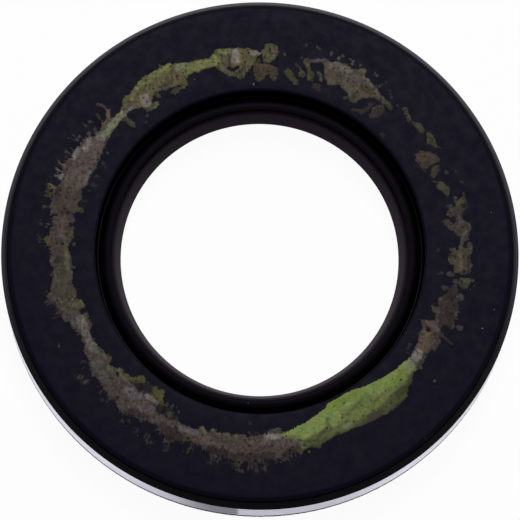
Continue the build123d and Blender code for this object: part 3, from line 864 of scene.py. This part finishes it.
# Soft strokes of colour, one over the other, in the same form
crustWashes = rowsOf("""mauve: .25 -6 32.3 -1 32.2, .8 240.6 31.5 243 31.4, .9 244 31.9 246.5 31.4,
    .6 231.5 32 236 31.2, .5 224.8 32.6 226.3 31.8, .55 262 32.4 273 32.1, .5 276.5 32.2 280 31.5,
    1.3 339 30.4 347.5 30.4, .45 193.8 33.4 197.5 32.2, .3 333.8 30.6 335 30.8, .4 182 31.2 183.5 31.2,
    .35 343 31.5 345.5 31.3, .4 162.5 32.6 165.5 32.4;
    deep: .6 256 32.1 260.4 32, .4 244.5 32.4 245.6 31.6, .3 276.6 32 278.4 31.4;
    rose: .6 60 30.6 63 30.3, 1.5 147 30.8 159 30.9, .5 174 30.9 176 30.7, .8 230.5 30 235.5 30.2,
    .5 267 29.8 272 29.9, .5 275 30.2 281.5 30.3, .25 214.5 30.2 216 30, .2 51.5 30.7 56.5 31.4,
    .25 334.8 29.5 336 29.6, .15 338.1 29.4 338.7 29.3;
    pinkTan: .4 -5.5 30.8 -1 30.9, .8 328.3 29.2 332.8 28.7, .35 85.9 32.3 85.7 31.5, .3 139 31.4 142 31.4,
    .5 336 28.6 336.6 28, .3 76.3 30.8 76 30.4;
    redTan: .9 166.5 32 169 30.8, .7 177.5 31.3 180 31.3, .35 280.6 31.6 282.5 31.2, .35 78 27.2 79.6 27.7,
    .5 85.3 28.6 85.5 27.6, .3 323.5 30.2 325 30.2, .45 330 30.7 332.8 30.7, .3 333 29.6 334 29.8;
    oliveTaupe: 1.5 186.5 30.9 195 30.8, .45 95 29.3 95.2 28.6, .45 117 30.1 120.5 29.9;
    taupe: .6 98.8 30.6 99.8 29.8, .5 212.5 30.7 216 31, .4 262.5 29.3 265 29.3, .5 160.8 30.6 161.6 31.6;
    ash: .7 216.5 30.9 220 31, .4 200.5 30.8 202.5 30.8, .35 237.5 31 239.5 30.8, .25 8.5 31.2 10.2 31.1,
    .3 71 31.8 75 31.2;
    grey: .3 346.8 31.8, .3 .3 29.6;
    bronze: .6 55.5 30.6 58 30.4, .6 30.4 29.2 29.8 28.5, .4 -1.2 31.7 0 31.3;
    moss: .25 .2 32.5 1.6 32.4, .3 3.4 32 5.5 32.1, .3 4.7 30.9 5.2 30.5, .45 13.9 32.3 13.6 31.5,
    .35 18.3 30.4, .4 24 29.4 24.8 29.7, .45 59.3 28.9 59 27.8, .35 95.8 27.8 97.5 28.2,
    .35 173.2 29.5 176 29.3, .4 7 29.7 9.3 28.9, .4 -3 29.4 -1.5 29.4, .2 184.4 32 184.8 30.2;
    leafDim: .35 178.5 29.9 185.5 29.8, .35 196.6 30 197 28.8, .3 209.8 29.4 213 29.5,
    .35 218 29.5 220 29.5, .3 220.8 28.7 224.5 28.8, .15 200.2 28.6 201.5 28.6, .3 252.6 29.2 253.2 29.6,
    .25 255.5 28.9 257.5 29.3, .3 259.3 29.3 260.3 29.3, .35 60.8 32.8 62 32.4, .2 214 29.2 216 28.8,
    .2 274.7 27.9 275.3 27.8, .25 101.4 29.4 100 28.6, .3 110.6 30.3 111.3 30.3, .12 65.5 29.6 66 29.4;
    leaf: .4 98.8 32 101.2 32.1, .6 102.3 31 105 30.7, .8 105 30.8 111.4 30.9, .5 115.5 32.3 121 32.4,
    .4 121.5 32.2 126.5 32.1, .3 128.6 31.4 129.4 31.2, .15 102 30.7 103 31.6;
    leafPale: .45 111.8 31.6 114 31.7, .6 134.6 30.4 143.5 30.3;
    cream: .25 56.5 31.5 59.5 31.9, .55 64.5 31.7 69 31.6, .25 130 30 134 30.3, .35 143.8 31 144.6 30.7,
    .25 155 29.1 159 29.1, .65 201 29.7 205.5 29.8, .5 205.5 29.7 211.5 30.1, .45 232.8 28.5 235.8 28.5,
    .1 -4.5 31.25, .1 -1.6 31.15, .13 53 30.6 54 30.8;
    rose: .45 252.5 30.5 257 30.5;
    mustard: .3 196.4 28.7 198.2 29, .22 200.2 28.5 200.9 28.7, .2 173.8 29.2 175.2 29.3,
    .25 177 33.2 178.3 32.8;
    lilac: .75 227.2 29.8 230 29.4, .45 246.5 30.3 250.8 30.1;
    white: .62 97 31.6 97.2 30.4, .7 126.8 30 127 29.2, .35 90.6 31.4 92.2 31.4, .5 147 31.6 149 31.5,
    .35 151 32.3 153.2 32.4, .28 158.6 32.8 159.6 33, .45 272 29 275.5 29.1, .65 324.2 29.1 326.8 29.2;
    limeDull: 1.3 284 31.2 300 31, 1.4 300 31 316 31.2, .7 316 30.9 320.5 30.2;
    limeMid: .8 284 31.7 294 31.6, .8 298 31.5 317 31.5, .5 317 31 320.5 30.4, .35 287.5 30 290.5 29.6;
    limeShade: .4 310.8 29.8 316.2 30.7, .35 284.5 31.6 287.5 32, .35 290 31.5 298 31.5,
    .4 305.5 32.2 314 32.1, .4 313 31.1 317 31.1, .3 318 30.8 320 30.6;
    limeMid: .25 308.5 31.3 311 31.2;
    bronze: .4 300.5 31.5 305.5 31.5, .35 303 30.7 306.5 31;
    limeSoft: 1 298 29 305 28.4, .15 296.3 28.6 297.3 28.2, .3 299 30 304 30, .25 278.5 29.3 281.5 29.6,
    .5 306 29.9 317 29.6;
    limeDull: .22 295.5 28.9 299 28.6, .22 299 28.6 303.5 28, .3 290.4 29.4 291.3 28.2,
    .3 306 29.3 310 29.2;
    limeDeep: .25 284 30.6 286.3 30.8, .22 292.5 30.7 293.6 31;
    leafPale: .35 295.5 30.3 297.2 30.1, .4 320.5 29.4 322.8 29;
    limeBright: .5 294.5 26.6 304 26.7, .4 314 28.9 320 28.9;
    rust: .16 42.7 31.15 44 31.5, .15 27.2 31 28.6 31.1, .15 131 31.2;
    dark: .12 -6.2 31.6 -5.4 31.6, .1 -2.2 31.5, .1 6.7 31.5, .08 12.9 32.7 12.3 31.9, .14 50.2 30.2,
    .12 57.4 30.7, .1 60.7 30.7, .12 54.1 30.7, .14 68.6 31, .15 87.2 32.1 87.3 31.5, .14 88.5 30.7,
    .16 93.2 31.4, .13 94.4 30, .13 113 30.6, .13 119.8 30.7, .12 122.9 30.5, .1 124.4 31.4, .12 123.2 32.3,
    .13 126.3 32.3, .13 153.4 30.6, .1 157 30.6, .12 156.8 32.5, .14 160 30.4, .13 161.3 31.2,
    .1 163.2 32.2, .13 164.6 31, .15 167.7 30.9, .2 244.6 32.3, .17 245.9 31, .2 249.3 31.3, .13 257.5 31.8,
    .16 263.7 31.7, .14 267.2 31.6, .14 276 31, .13 279.1 31.1, .13 282.4 31, .15 339.7 30.9, .2 341.8 31.2,
    .16 346.6 30.8, .14 334.2 28.4, .14 285.5 30.8, .12 288.7 30.7, .12 298.2 30.2, .1 302 30.2,
    .12 316.9 29.5, .13 318.5 30.3, .13 116.4 30.7, .1 294.9 26.8, .12 298.3 27, .1 302.6 28.7,
    .13 301.4 30.2, .12 304.5 30.2, .13 309.8 31.1, .1 306.7 31.3, .1 296.7 29.8, .12 290.2 29.5,
    .1 292.1 30.7, .12 296.7 31.2, .1 311.2 29.1""")
# Edges: from angle, to angle, roughness, outer and inner spikes in mm, crumbs inside and outside
crustFringe = numbersIn("""-8 46 .13 .05 .02 .1 .1, 46 84 .14 .05 .02 .2 .35, 84 134 .13 .05 .04 .1 .1,
    134 146 .13 .15 .05 .2 .5, 146 182 .14 .45 .12 .45 .75, 182 213 .15 .2 .1 .2 .35,
    213 240 .16 .35 .15 .4 .75, 240 283 .15 .5 .2 .35 .7, 283 323 .08 .1 0 0 .1, 323 352 .14 .12 .05 .3 .4""")


def layered(grid, name):  # the sum of a few noises
    grains = crustField["grains"][name]
    return sum(weight * grain2d(grid["x"], grid["y"], size, seed) for weight, size, seed in grains)


def columnsNear(fromAngle, toAngle, reach=3.5):  # which columns of the grid lie near a stretch of angles
    step = 360 / crustField["columns"]
    first, last = math.floor((fromAngle - reach) / step), math.ceil((toAngle + reach) / step)
    return np.arange(first, last + 1) % crustField["columns"]


def flatPlace(angle, radius):
    turn = math.radians(angle)
    return radius * math.cos(turn), radius * math.sin(turn)


def awayFrom(grid, columns, start, end):  # distance from a straight line between two places
    (ax, ay), (bx, by) = flatPlace(*start), flatPlace(*end)
    dx, dy = bx - ax, by - ay
    px, py = grid["x"][columns] - ax, grid["y"][columns] - ay
    t = np.clip((px * dx + py * dy) / max(dx * dx + dy * dy, 1e-9), 0, 1)
    return np.hypot(px - t * dx, py - t * dy)


def outlineField(grid, corners):  # distance from a closed outline, below zero inside
    best = grid["far"].copy()
    inside = np.zeros(best.shape, bool)
    for start, end in sides(corners):
        (low, lowRadius), (high, highRadius) = sorted((start, end))
        columns = columnsNear(low, high)
        best[columns] = np.minimum(best[columns], awayFrom(grid, columns, start, end))
        if high > low:
            along = (grid["degrees"][columns] - low + 180) % 360 - 180
            crossing = lowRadius + (highRadius - lowRadius) * along / (high - low)
            inside[columns] ^= (along >= 0) & (along < high - low) & (grid["radius"][columns] < crossing)
    return np.where(inside, -best, best)


def strokesIn(grid, strokes):  # first angle, half width, columns near and distances in them, for each
    for width, *places in strokes:
        start, end = places[:2], places[-2:]
        columns = columnsNear(min(start[0], end[0]), max(start[0], end[0]))
        yield start[0], width, columns, awayFrom(grid, columns, start, end) - width


def paint(colours, columns, near, name, soft):
    share = (1 - stepUp(near, -soft, soft))[..., None]
    colours[columns] = colours[columns] * (1 - share) + np.array(tints[name][:3]) * share


def crustGrid():
    look = crustField
    rows = int((look["outerRadius"] - look["innerRadius"]) / look["cell"])
    turns = np.arange(look["columns"]) * 2 * math.pi / look["columns"]
    radii = np.linspace(look["innerRadius"], look["outerRadius"], rows + 1)
    turn, radius = np.meshgrid(turns, radii, indexing="ij")
    return {"turn": turn, "radius": radius, "x": radius * np.cos(turn), "y": radius * np.sin(turn),
            "degrees": np.degrees(turn), "far": np.full(turn.shape, look["far"])}


def drawn(grid):  # the smooth outlines of each kind, and the colours painted so far
    look = crustField
    low, spread = look["groundShade"]
    colours = np.ones(grid["x"].shape + (3,)) * np.array(tints["grey"][:3])
    colours *= (low + spread * layered(grid, "ground"))[..., None]
    fields = {kind: grid["far"].copy() for kind in crustLooks}
    bands = [(kind, name, [(a, outer) for a, _, outer in rim] + [(a, inner) for a, inner, _ in rim[::-1]])
             for kind, name, rim in crustBands]
    for kind, name, corners in bands + crustPatches:
        near = outlineField(grid, corners)
        if name == "lime":  # the green patch cuts into the crust beside it
            fields["brown"] = np.maximum(fields["brown"], -near)
        fields[kind] = np.minimum(fields[kind], near)
        paint(colours, slice(None), near - look["overPaint"], name, look["soft"])
    for name, strokes in crustBits:
        for angle, width, columns, near in strokesIn(grid, strokes):
            kind = "brown" if look["brownTurns"][0] <= angle <= look["brownTurns"][1] else "olive"
            fields[kind][columns] = np.minimum(fields[kind][columns], near)
            paint(colours, columns, near - look["bitSoft"], name, look["bitSoft"])
    waver = layered(grid, "waver")
    for name, strokes in crustWashes:
        for _, width, columns, near in strokesIn(grid, strokes):
            soft = look["soft"] * (look["limeSoft"] if name.startswith("lime") else 1)
            near = near + waver[columns] * min(1, look["washWaver"] * width)
            paint(colours, columns, near, name, min(soft, look["washSoft"] * width))
    return fields, colours


def fringeOf(grid):  # the values of crustFringe at each place, blended over a couple of degrees
    totals, weight = [0] * 5, 1e-6
    for start, end, *values in crustFringe:
        away = np.abs((grid["degrees"] - (start + end) / 2 + 180) % 360 - 180)
        share = 1 - stepUp(away, (end - start) / 2 - 1, (end - start) / 2 + 1)
        totals = [total + share * value for total, value in zip(totals, values)]
        weight = weight + share
    return [total / weight for total in totals]


def ragged(grid, fields):  # the drawn outlines get rough edges, spikes, crumbs and gaps
    look, spikes = crustField, crustField["spikes"]

    def stretched(name):
        stretch, shift, size, seed = spikes[name]
        return grain2d(grid["turn"] * spikes["around"], grid["radius"] * stretch + shift, size, seed)

    rough, outerSpikes, innerSpikes, innerCrumbs, outerCrumbs = fringeOf(grid)
    outside = stepUp(grid["radius"] - look["middleRadius"], *spikes["crossing"])
    hairs = np.clip(1 - spikes["thin"] * np.abs(stretched("ridges")), 0, 1) ** spikes["point"]
    hairs = spikes["height"] * hairs + spikes["fineHeight"] * stretched("fine")
    low, high = spikes["runHeights"]
    hairs *= low + high * stepUp(stretched("runs"), *spikes["runLevels"])
    edge = rough * layered(grid, "rough") + hairs * (outerSpikes * outside + innerSpikes * (1 - outside))
    most, share = look["crumbLevels"]
    crumbs = layered(grid, "crumbs") - (most - share * (outerCrumbs * outside + innerCrumbs * (1 - outside)))
    gaps = grid["far"].copy()
    for _, _, columns, near in strokesIn(grid, crustGaps):
        gaps[columns] = np.minimum(gaps[columns], near)
    for kind, base in fields.items():
        finished = np.maximum(base - edge - look["spread"], look["gapEdge"] - gaps)
        if kind != "green":
            fade = look["crumbFade"] * np.maximum(base - look["crumbStart"], 0)
            loose = look["crumbSlope"] * (fade - crumbs)
            low, high = look["crumbReach"]
            finished = np.minimum(finished, np.where((base > low) & (base < high), loose, look["far"]))
        fields[kind] = finished
    fields["brown"] = np.maximum(fields["brown"], -fields["green"])  # no two kinds lie on the same place
    fields["olive"] = np.maximum(fields["olive"], -np.minimum(fields["green"], fields["brown"]))


def makeCrustPieces():
    look = crustField
    grid = crustGrid()
    fields, colours = drawn(grid)
    ragged(grid, fields)
    whole = np.minimum.reduce(list(fields.values()))
    pits = look["pits"] * stepUp(layered(grid, "pits"), *look["pitLevels"])
    pits = np.maximum(pits, look["finePits"] * stepUp(layered(grid, "finePits"), *look["finePitLevels"]))
    calm = np.where(fields["green"] < 0, look["calm"], 1)
    grain, pits = layered(grid, "relief") * calm, pits * calm ** look["calmPits"]
    warm, green = look["warmDrift"] * layered(grid, "warm"), look["greenDrift"] * layered(grid, "green")
    colours *= 1 + np.stack([warm - green, green, -look["blueDrift"] * warm - green], -1)
    edge = look["edgeShade"] * (1 - stepUp(-whole, *look["edgeLevels"]))
    shade = np.exp(grain) * (1 - pits) * (1 - edge)
    colours = np.dstack([colours * shade[..., None], np.ones(whole.shape)])
    level, grainShare, pitShare = look["relief"]
    relief = level + grainShare * grain - pitShare * pits
    return {kind: crustMesh(kind, field, grid, relief, -whole, colours) for kind, field in fields.items()}


def crustMesh(kind, own, grid, relief, depth, colours):
    look = crustField
    columns, rows = own.shape
    radius, turn = grid["radius"], grid["turn"]
    closed = np.concatenate([own, own[:1]])
    keep = (closed[:-1, :-1] + closed[1:, :-1] + closed[:-1, 1:] + closed[1:, 1:]) < 0
    keep[:, 0] = keep[:, -1] = False
    for _ in range(3):  # cells that touch only at a corner are joined
        ahead = np.roll(keep, -1, 0)
        keep[:, 1:] |= keep[:, :-1] & ~ahead[:, :-1] & ~keep[:, 1:] & ahead[:, 1:]
        ahead = np.roll(keep, -1, 0)
        keep[:, :-1] |= ~keep[:, :-1] & ahead[:, :-1] & keep[:, 1:] & ~ahead[:, 1:]
    keep &= np.roll(keep, 1, 0) | np.roll(keep, -1, 0) | np.roll(keep, 1, 1) | np.roll(keep, -1, 1)
    used = np.zeros((columns, rows), int)  # how many kept cells meet at each place
    for dk, di in ((0, 0), (1, 0), (0, 1), (1, 1)):
        used[:, di:rows - 1 + di] += np.roll(keep, dk, 0)
    border = (used > 0) & (used < 4)

    # places on the border move onto the true edge, by no more than their cell allows
    stepTurn, stepRadius = 2 * math.pi / columns, radius[0, 1] - radius[0, 0]
    slopeTurn = (np.roll(own, -1, 0) - np.roll(own, 1, 0)) / (2 * stepTurn) / radius
    slopeRadius = np.gradient(own, stepRadius, axis=1)
    steepness = np.maximum(slopeTurn ** 2 + slopeRadius ** 2, look["leastSteep"])
    pull = np.where(border, own / steepness, 0)
    mostRadius, mostTurn = look["moves"][0] * stepRadius, look["moves"][1] * stepTurn
    r = radius + np.clip(-pull * slopeRadius, -mostRadius, mostRadius)
    t = turn + np.clip(-pull * slopeTurn, -mostTurn, mostTurn) / radius

    # a flat underside, a top with relief, and walls wherever a kept cell has no neighbour
    rise = stepUp(depth, *look["riseLevels"]) * np.clip(relief, *look["reliefLimits"])
    rise = np.maximum(np.where(border, look["rim"], rise), look["rim"])
    chosen = used > 0
    count = chosen.sum()
    index = -np.ones((columns, rows), int)
    index[chosen] = np.arange(count)
    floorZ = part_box(kind + "_film")[0].z / mm
    flat = [(r * np.cos(t))[chosen], (r * np.sin(t))[chosen]]
    top = np.stack(flat + [floorZ + look["thick"] * rise[chosen]], -1)
    low = np.stack(flat + [np.full(count, floorZ)], -1)
    k, i = np.nonzero(keep)
    ahead = (k + 1) % columns
    a, b, c, d = index[k, i], index[k, i + 1], index[ahead, i + 1], index[ahead, i]
    upper = np.stack([a, b, c, d], -1)
    faces = [upper, upper[:, ::-1] + count]
    for shift, axis, first, second in ((1, 0, a, b), (-1, 1, b, c), (-1, 0, c, d), (1, 1, d, a)):
        wall = np.stack([first, first + count, second + count, second], -1)
        faces.append(wall[~np.roll(keep, shift, axis)[k, i]])
    faces = np.concatenate(faces).tolist()
    piece = meshPiece(kind + "Crust", np.concatenate([top, low]), faces, crustMaterials[kind], look["sharp"])
    layer = piece.data.color_attributes.new("zoneTint", "FLOAT_COLOR", "POINT")
    layer.data.foreach_set("color", np.tile(colours[chosen], (2, 1)).astype(np.float32).ravel())
    print(kind, "crust", len(faces), "faces, highest", round(float(top[:, 2].max()), 3))
    return piece


crusts = makeCrustPieces()
print("crust made")


# What each piece rides on and replaces, with the slot of its finish

for piece, node, slot in (
        (body, "sealing_body", "rubber"), (case, "steel_case", "case_steel"),
        (spring, "garter_spring", "spring_steel"), (crusts["green"], "green_film", "green_film"),
        (crusts["brown"], "brown_film", "brown_film"), (crusts["olive"], "olive_film", "olive_film")):
    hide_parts(node)
    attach(piece, "root")


# Floor, world and light

stageLook = {
    "floor": 2.4, "floorTone": (0.8, 0.8, 0.8, 1.0), "white": (1, 1, 1, 1), "glow": 0.95,
    "worldLight": 0.3, "lampWatts": 6.0, "lampPlace": (0.05, 0.45, 0.80), "lampSize": 0.4,
}


def makeFloor():  # pale, lit by the lamp, and with a glow of its own that only the viewer sees
    look = stageLook
    half = look["floor"] / 2
    mesh = bpy.data.meshes.new("floor")
    corners = [(-half, -half, 0), (half, -half, 0), (half, half, 0), (-half, half, 0)]
    mesh.from_pydata(corners, [], [(0, 1, 2, 3)])
    floor = shown("floor", mesh)
    material = bpy.data.materials.new("paleFloor")
    tree = emptied(material)
    paths = put(tree, "ShaderNodeLightPath").outputs
    seen = calc(tree, "MAXIMUM", paths["Is Camera Ray"], paths["Is Glossy Ray"])
    seen = calc(tree, "MAXIMUM", seen, paths["Is Transmission Ray"])
    matte = put(tree, "ShaderNodeBsdfDiffuse", {"Color": look["floorTone"]}).outputs[0]
    glow = put(tree, "ShaderNodeEmission", {"Color": look["white"], "Strength": 1.0}).outputs[0]
    share = times(tree, seen, look["glow"])
    mixed = put(tree, "ShaderNodeMixShader", {0: share, 1: matte, 2: glow}).outputs[0]
    put(tree, "ShaderNodeOutputMaterial", {0: mixed})
    mesh.materials.append(material)


def makeRoom():
    look = stageLook
    world = bpy.data.worlds.new("softRoom")
    bpy.context.scene.world = world
    tree = emptied(world)
    seen = put(tree, "ShaderNodeLightPath").outputs["Is Camera Ray"]
    strength = calc(tree, "MAXIMUM", seen, look["worldLight"])
    sky = put(tree, "ShaderNodeBackground", {"Color": look["white"], "Strength": strength}).outputs[0]
    put(tree, "ShaderNodeOutputWorld", {0: sky})
    lamp = bpy.data.lights.new("softbox", "AREA")
    lamp.shape = "SQUARE"
    lamp.size = look["lampSize"]
    lamp.energy = look["lampWatts"]
    holder = shown("softbox", lamp)
    holder.location = look["lampPlace"]
    holder.rotation_euler = (-holder.location).to_track_quat("-Z", "Y").to_euler()


makeFloor()
makeRoom()
print("stage made")


# Camera

viewing = {
    "tilt": 11.366, "turn": 4.235, "distance": 0.697, "lens": 313.04, "sensor": 36,
    "shiftX": -0.00048, "shiftY": -0.01769, "clip": (0.01, 20),
}


def makeCamera():
    tilt, turn = math.radians(viewing["tilt"]), math.radians(viewing["turn"])
    across = Vector((math.cos(turn), -math.sin(turn), 0))
    away = Vector((math.sin(turn), math.cos(turn), 0))
    rising = away * math.cos(tilt) + Vector((0, 0, math.sin(tilt)))
    right = across * math.cos(turn) + rising * math.sin(turn)
    up = rising * math.cos(turn) - across * math.sin(turn)
    back = right.cross(up)
    lens = bpy.data.cameras.new("camera")
    lens.sensor_width = viewing["sensor"]
    lens.lens = viewing["lens"]
    lens.shift_x, lens.shift_y = viewing["shiftX"], viewing["shiftY"]
    lens.clip_start, lens.clip_end = viewing["clip"]
    camera = shown("camera", lens)
    camera.matrix_world = Matrix((right, up, back)).transposed().to_4x4()
    camera.location = Vector((0, 0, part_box("sealing_body")[1].z)) + back * viewing["distance"]
    bpy.context.scene.camera = camera


makeCamera()
bpy.context.scene.view_settings.view_transform = "Standard"
